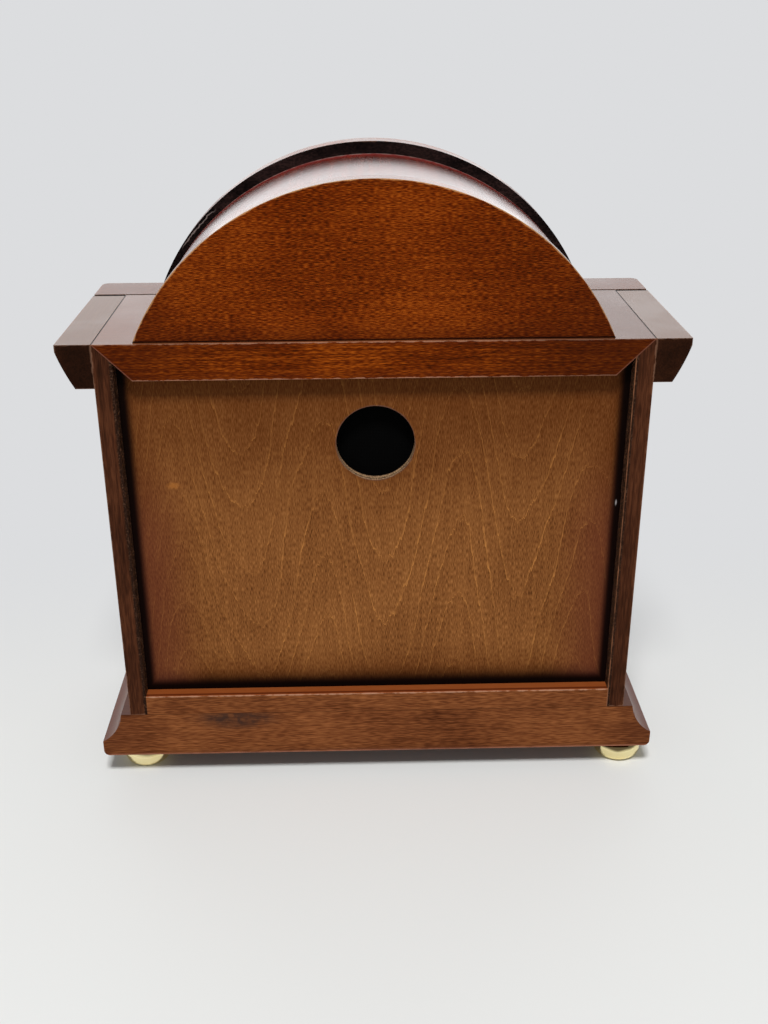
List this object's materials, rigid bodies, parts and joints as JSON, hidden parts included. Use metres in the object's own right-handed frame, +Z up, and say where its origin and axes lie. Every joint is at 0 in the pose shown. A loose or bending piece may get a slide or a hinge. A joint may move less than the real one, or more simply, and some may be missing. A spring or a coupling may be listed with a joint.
{
  "type": "cylinder music box",
  "caption": "Arch-topped wooden mantel case on brass bun feet holding a spring-driven pinned-cylinder movement with a steel comb behind a glazed front door.",
  "frame": {"origin": "on the table, under the middle of the case", "axes": "+Z up, the glazed door faces -Y, the back with the round hole faces +Y"},
  "size_m": [0.2932, 0.1204, 0.3168],
  "materials": {
    "stained_wood": "red-brown stain under a semi-gloss lacquer",
    "plywood": "thin stained plywood, satin",
    "dark_wood": "dark stain, satin",
    "black_cloth": "board covered in black cloth",
    "brass": "polished brass",
    "steel": "ground steel",
    "clear_glass": "clear sheet glass",
    "catch_plastic": "black moulded magnetic catch"
  },
  "bodies": {
    "case": {"base_plinth": "stained_wood", "bottom_board": "stained_wood", "front_left_foot": "brass", "rear_left_foot": "brass", "front_right_foot": "brass", "rear_right_foot": "brass", "left_side_panel": "stained_wood", "left_cornice": "stained_wood", "right_side_panel": "stained_wood", "right_cornice": "stained_wood", "top_board": "stained_wood", "back_panel": "plywood", "backdrop": "black_cloth", "dome_back": "stained_wood", "dome_shell": "stained_wood", "front_tympanum": "stained_wood", "arch_moulding": "stained_wood", "front_cornice": "stained_wood", "front_left_stile": "stained_wood", "front_right_stile": "stained_wood", "front_bottom_rail": "stained_wood", "stage_bearers": "dark_wood", "stage_board": "dark_wood", "catch_magnet": "catch_plastic", "hinge_case_leaves": "brass", "hinge_pins": "brass", "bedplate": "brass", "left_cylinder_bearing": "brass", "right_bracket": "brass", "inner_barrel_bracket": "brass", "outer_barrel_bracket": "brass", "comb": "steel", "comb_block": "brass", "governor_frame": "brass", "stop_post": "steel", "movement_screws": "steel"},
    "door": {"door_left_stile": "stained_wood", "door_right_stile": "stained_wood", "door_bottom_rail": "stained_wood", "door_top_rail": "stained_wood", "door_glass": "clear_glass", "glass_beads": "stained_wood", "door_knob": "brass", "hinge_door_leaves": "brass"},
    "cylinder": {"cylinder_sleeve": "brass", "cylinder_end_caps": "brass", "cylinder_arbor": "steel", "cylinder_wheel": "brass"},
    "barrel": {"barrel_drum": "brass", "great_wheel": "brass", "mainspring": "steel"},
    "winding": {"barrel_arbor": "steel", "ratchet_wheel": "steel", "winding_key": "steel"},
    "governor": {"governor_arbor": "steel", "worm_wheel": "brass"},
    "fly": {"fly_arbor": "steel", "fly_vanes": "brass"},
    "click": {"click": "steel"},
    "stop": {"stop_lever": "brass"}
  },
  "joints": [
    {"name": "door_swing", "type": "hinge", "parent": "case", "child": "door", "pos_m": [-0.1017, -0.04615, 0.132], "axis": [0, 0, -1], "range_deg": [0, 105]},
    {"name": "cylinder_spin", "type": "hinge", "parent": "case", "child": "cylinder", "pos_m": [0.01, 0.01995, 0.1091], "axis": [1, 0, 0], "continuous": true},
    {"name": "barrel_spin", "type": "hinge", "parent": "case", "child": "barrel", "pos_m": [-0.06, -0.00405, 0.1091], "axis": [1, 0, 0], "continuous": true},
    {"name": "governor_spin", "type": "hinge", "parent": "case", "child": "governor", "pos_m": [0.08, -0.00255, 0.1091], "axis": [1, 0, 0], "continuous": true},
    {"name": "fly_spin", "type": "hinge", "parent": "case", "child": "fly", "pos_m": [0.082, -0.01215, 0.1091], "axis": [0, 0, 1], "continuous": true},
    {"name": "winding_turn", "type": "hinge", "parent": "case", "child": "winding", "pos_m": [-0.06, -0.00405, 0.1091], "axis": [1, 0, 0], "range_deg": [0, 2160]},
    {"name": "click_lift", "type": "hinge", "parent": "case", "child": "click", "pos_m": [-0.088, -0.01655, 0.1199], "axis": [1, 0, 0], "range_deg": [0, 18]},
    {"name": "stop_swing", "type": "hinge", "parent": "case", "child": "stop", "pos_m": [0.066, -0.01215, 0.133], "axis": [0, 0, 1], "range_deg": [0, 20]}
  ],
  "couplings": [
    {"joint": "barrel_spin", "follows": "cylinder_spin", "ratio": -0.33333},
    {"joint": "governor_spin", "follows": "cylinder_spin", "ratio": -4},
    {"joint": "fly_spin", "follows": "cylinder_spin", "ratio": -96}
  ]
}
